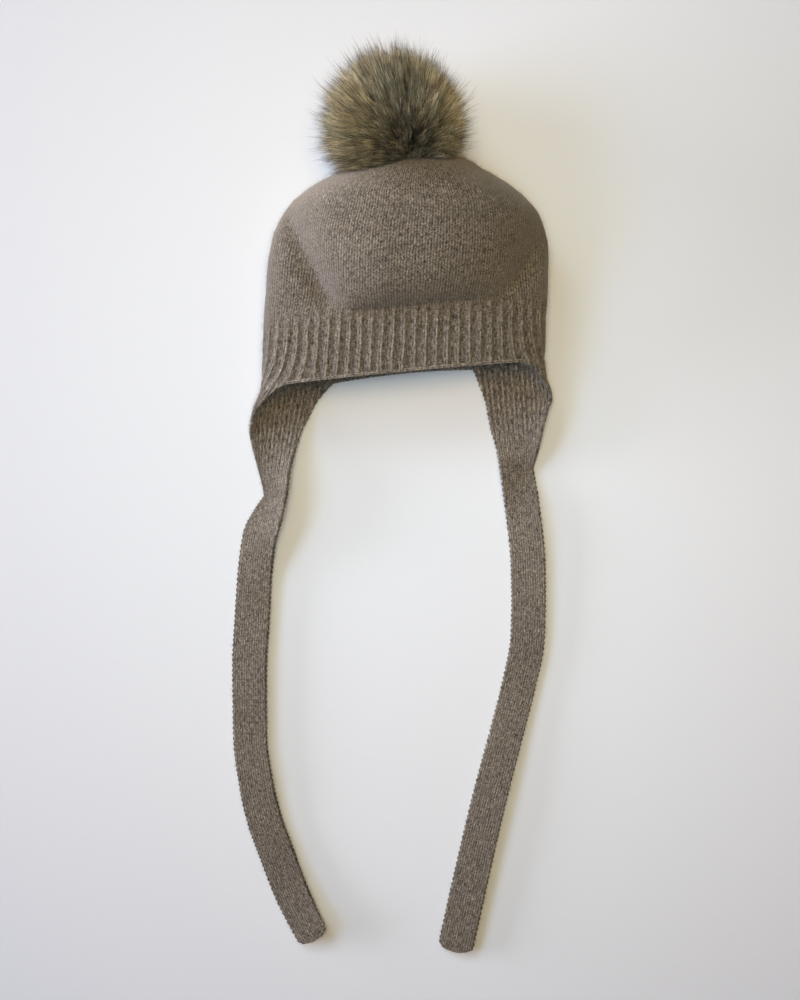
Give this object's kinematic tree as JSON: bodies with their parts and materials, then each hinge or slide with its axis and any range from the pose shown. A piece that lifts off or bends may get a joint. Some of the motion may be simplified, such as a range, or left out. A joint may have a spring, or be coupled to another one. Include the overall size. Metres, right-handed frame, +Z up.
{
  "type": "knit bonnet with ear flaps, long ties and fur pompom",
  "caption": "Knitted child's bonnet lying on its back: puffed crown, deep ribbed brim, ear flaps that run into long flat ties, and a fur pompom at the gathered end.",
  "frame": {"origin": "on the crown's flat underside, in the plane that the bonnet rests on, a little under half of the way from the brim's seam to the gathered end", "axes": "+Y towards the gathered end and its pompom, with the ties towards -Y; +Z up through the front of the bonnet; +X to the right as seen from above"},
  "size_m": [0.2277, 0.6337, 0.0919],
  "materials": {
    "crown_knit": "brushed taupe wool in plain knit, matt",
    "rib_knit": "brushed taupe wool in narrow ribbing, matt",
    "flap_knit": "brushed taupe wool in narrow ribbing, matt",
    "tie_knit": "taupe wool in dense plain knit with beaded edges, matt",
    "pompom_fur": "long olive-brown fur with pale tan outer hair and dark tips"
  },
  "bodies": {
    "root": {"crown": "crown_knit", "ribbed_brim": "rib_knit", "ear_flap_left": "flap_knit", "ear_flap_right": "flap_knit", "tie_left": "tie_knit", "tie_right": "tie_knit", "pompom": "pompom_fur"}
  },
  "joints": []
}
